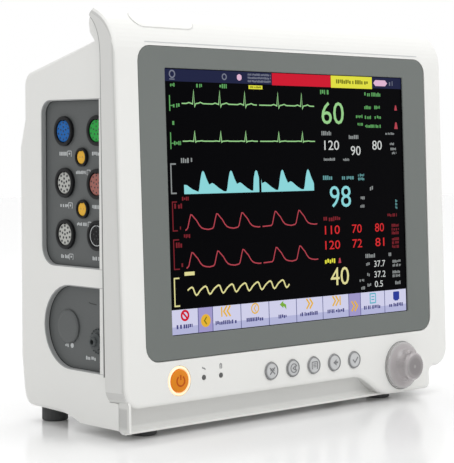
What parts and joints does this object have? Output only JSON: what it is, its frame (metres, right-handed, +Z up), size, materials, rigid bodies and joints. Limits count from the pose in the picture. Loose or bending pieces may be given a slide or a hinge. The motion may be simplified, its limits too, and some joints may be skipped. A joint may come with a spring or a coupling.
{
  "type": "patient monitor",
  "caption": "Bedside patient monitor: leaning colour screen in a grey frame, white case with carrying lip, keys, dial and side sensor sockets.",
  "frame": {"origin": "on the floor under the middle of the whole object's box", "axes": "+X right as the user sees the screen, +Y to the back, +Z up"},
  "size_m": [0.3384, 0.1491, 0.2943],
  "materials": {
    "case_white": "fine-textured off-white ABS, satin",
    "frame_grey": "mid grey satin plastic",
    "panel_grey": "dark grey textured plastic",
    "screen_glass": "anti-glare screen cover, lit picture behind it",
    "lcd_metal": "zinc-plated sheet steel",
    "lamp_white": "milky translucent lamp lens",
    "power_orange": "orange translucent button",
    "light_ring": "cream light ring",
    "key_grey": "pale grey translucent silicone key",
    "dial_clear": "silvery translucent dial",
    "led_smoke": "smoked lens",
    "rubber_black": "black rubber",
    "socket_blue": "blue pin insert in a black shell",
    "socket_green": "green pin insert in a black shell",
    "socket_white": "white pin insert in a black shell",
    "socket_brown": "red-brown pin insert in a black shell",
    "socket_black": "black socket with a pale ring",
    "socket_yellow": "yellow insert in a black shell",
    "plastic_black": "black moulded plastic",
    "earth_brass": "nickel-plated brass",
    "board_green": "green solder resist",
    "pack_grey": "grey shrink-wrapped cells"
  },
  "bodies": {
    "case": {"air_pump": "plastic_black", "alarm_lamp_board": "board_green", "alarm_lamp_lens": "lamp_white", "battery_bay": "lcd_metal", "battery_led": "led_smoke", "battery_pack": "pack_grey", "blank_cover": "panel_grey", "case_screw_1": "lcd_metal", "case_screw_2": "lcd_metal", "case_screw_3": "lcd_metal", "case_screw_4": "lcd_metal", "chassis": "lcd_metal", "connector_panel": "panel_grey", "dial_encoder": "lcd_metal", "door_hinge_pin": "lcd_metal", "earth_post": "earth_brass", "ecg_socket": "socket_green", "fan_frame": "plastic_black", "foot_front_left": "rubber_black", "foot_front_right": "rubber_black", "foot_rear_left": "rubber_black", "foot_rear_right": "rubber_black", "front_housing": "case_white", "gas_socket": "socket_black", "hose_panel": "panel_grey", "hose_port": "plastic_black", "key_board": "board_green", "lcd_bracket": "lcd_metal", "lcd_panel": "lcd_metal", "main_board": "board_green", "mains_inlet": "plastic_black", "mains_led": "led_smoke", "mount_plate": "lcd_metal", "network_port": "lcd_metal", "output_socket": "socket_brown", "parameter_module": "lcd_metal", "power_button_ring": "light_ring", "power_supply": "lcd_metal", "pressure_socket_1": "socket_white", "pressure_socket_2": "socket_white", "rear_housing": "case_white", "screen_frame": "frame_grey", "screen_gasket": "rubber_black", "screen_glass": "screen_glass", "speaker": "plastic_black", "spo2_socket": "socket_blue", "temperature_socket_1": "socket_yellow", "temperature_socket_2": "socket_yellow", "usb_ports": "lcd_metal", "video_port": "lcd_metal"},
    "power_button": {"power_button": "power_orange"},
    "function_key_1": {"function_key_1": "key_grey"},
    "function_key_2": {"function_key_2": "key_grey"},
    "function_key_3": {"function_key_3": "key_grey"},
    "function_key_4": {"function_key_4": "key_grey"},
    "function_key_5": {"function_key_5": "key_grey"},
    "dial_stem": {"dial_shaft": "lcd_metal"},
    "dial": {"dial": "dial_clear"},
    "fan_rotor": {"fan_rotor": "plastic_black"},
    "battery_door": {"battery_door": "case_white"}
  },
  "joints": [
    {"name": "power_button_press", "type": "slide", "parent": "case", "child": "power_button", "axis": [0, 0.9991, -0.0427], "range_m": [0, 0.0012], "stiffness_N_per_m": 1500, "springref_m": -0.0005},
    {"name": "function_key_1_press", "type": "slide", "parent": "case", "child": "function_key_1", "axis": [0, 0.9991, -0.0427], "range_m": [0, 0.0012], "stiffness_N_per_m": 1200, "springref_m": -0.0005},
    {"name": "function_key_2_press", "type": "slide", "parent": "case", "child": "function_key_2", "axis": [0, 0.9991, -0.0427], "range_m": [0, 0.0012], "stiffness_N_per_m": 1200, "springref_m": -0.0005},
    {"name": "function_key_3_press", "type": "slide", "parent": "case", "child": "function_key_3", "axis": [0, 0.9991, -0.0427], "range_m": [0, 0.0012], "stiffness_N_per_m": 1200, "springref_m": -0.0005},
    {"name": "function_key_4_press", "type": "slide", "parent": "case", "child": "function_key_4", "axis": [0, 0.9991, -0.0427], "range_m": [0, 0.0012], "stiffness_N_per_m": 1200, "springref_m": -0.0005},
    {"name": "function_key_5_press", "type": "slide", "parent": "case", "child": "function_key_5", "axis": [0, 0.9991, -0.0427], "range_m": [0, 0.0012], "stiffness_N_per_m": 1200, "springref_m": -0.0005},
    {"name": "dial_push", "type": "slide", "parent": "case", "child": "dial_stem", "axis": [0, 0.9991, -0.0427], "range_m": [0, 0.0005], "stiffness_N_per_m": 4000, "springref_m": -0.0003},
    {"name": "dial_turn", "type": "hinge", "parent": "dial_stem", "child": "dial", "pos_m": [0.1119, -0.06526, 0.02708], "axis": [0, 0.9991, -0.0427], "continuous": true},
    {"name": "fan_spin", "type": "hinge", "parent": "case", "child": "fan_rotor", "pos_m": [0.104, 0.0547, 0.134], "axis": [0, 1, 0], "continuous": true},
    {"name": "battery_door_swing", "type": "hinge", "parent": "case", "child": "battery_door", "pos_m": [0.164, 0.0457, 0.071], "axis": [0, 0, 1], "range_deg": [0, 95]}
  ]
}
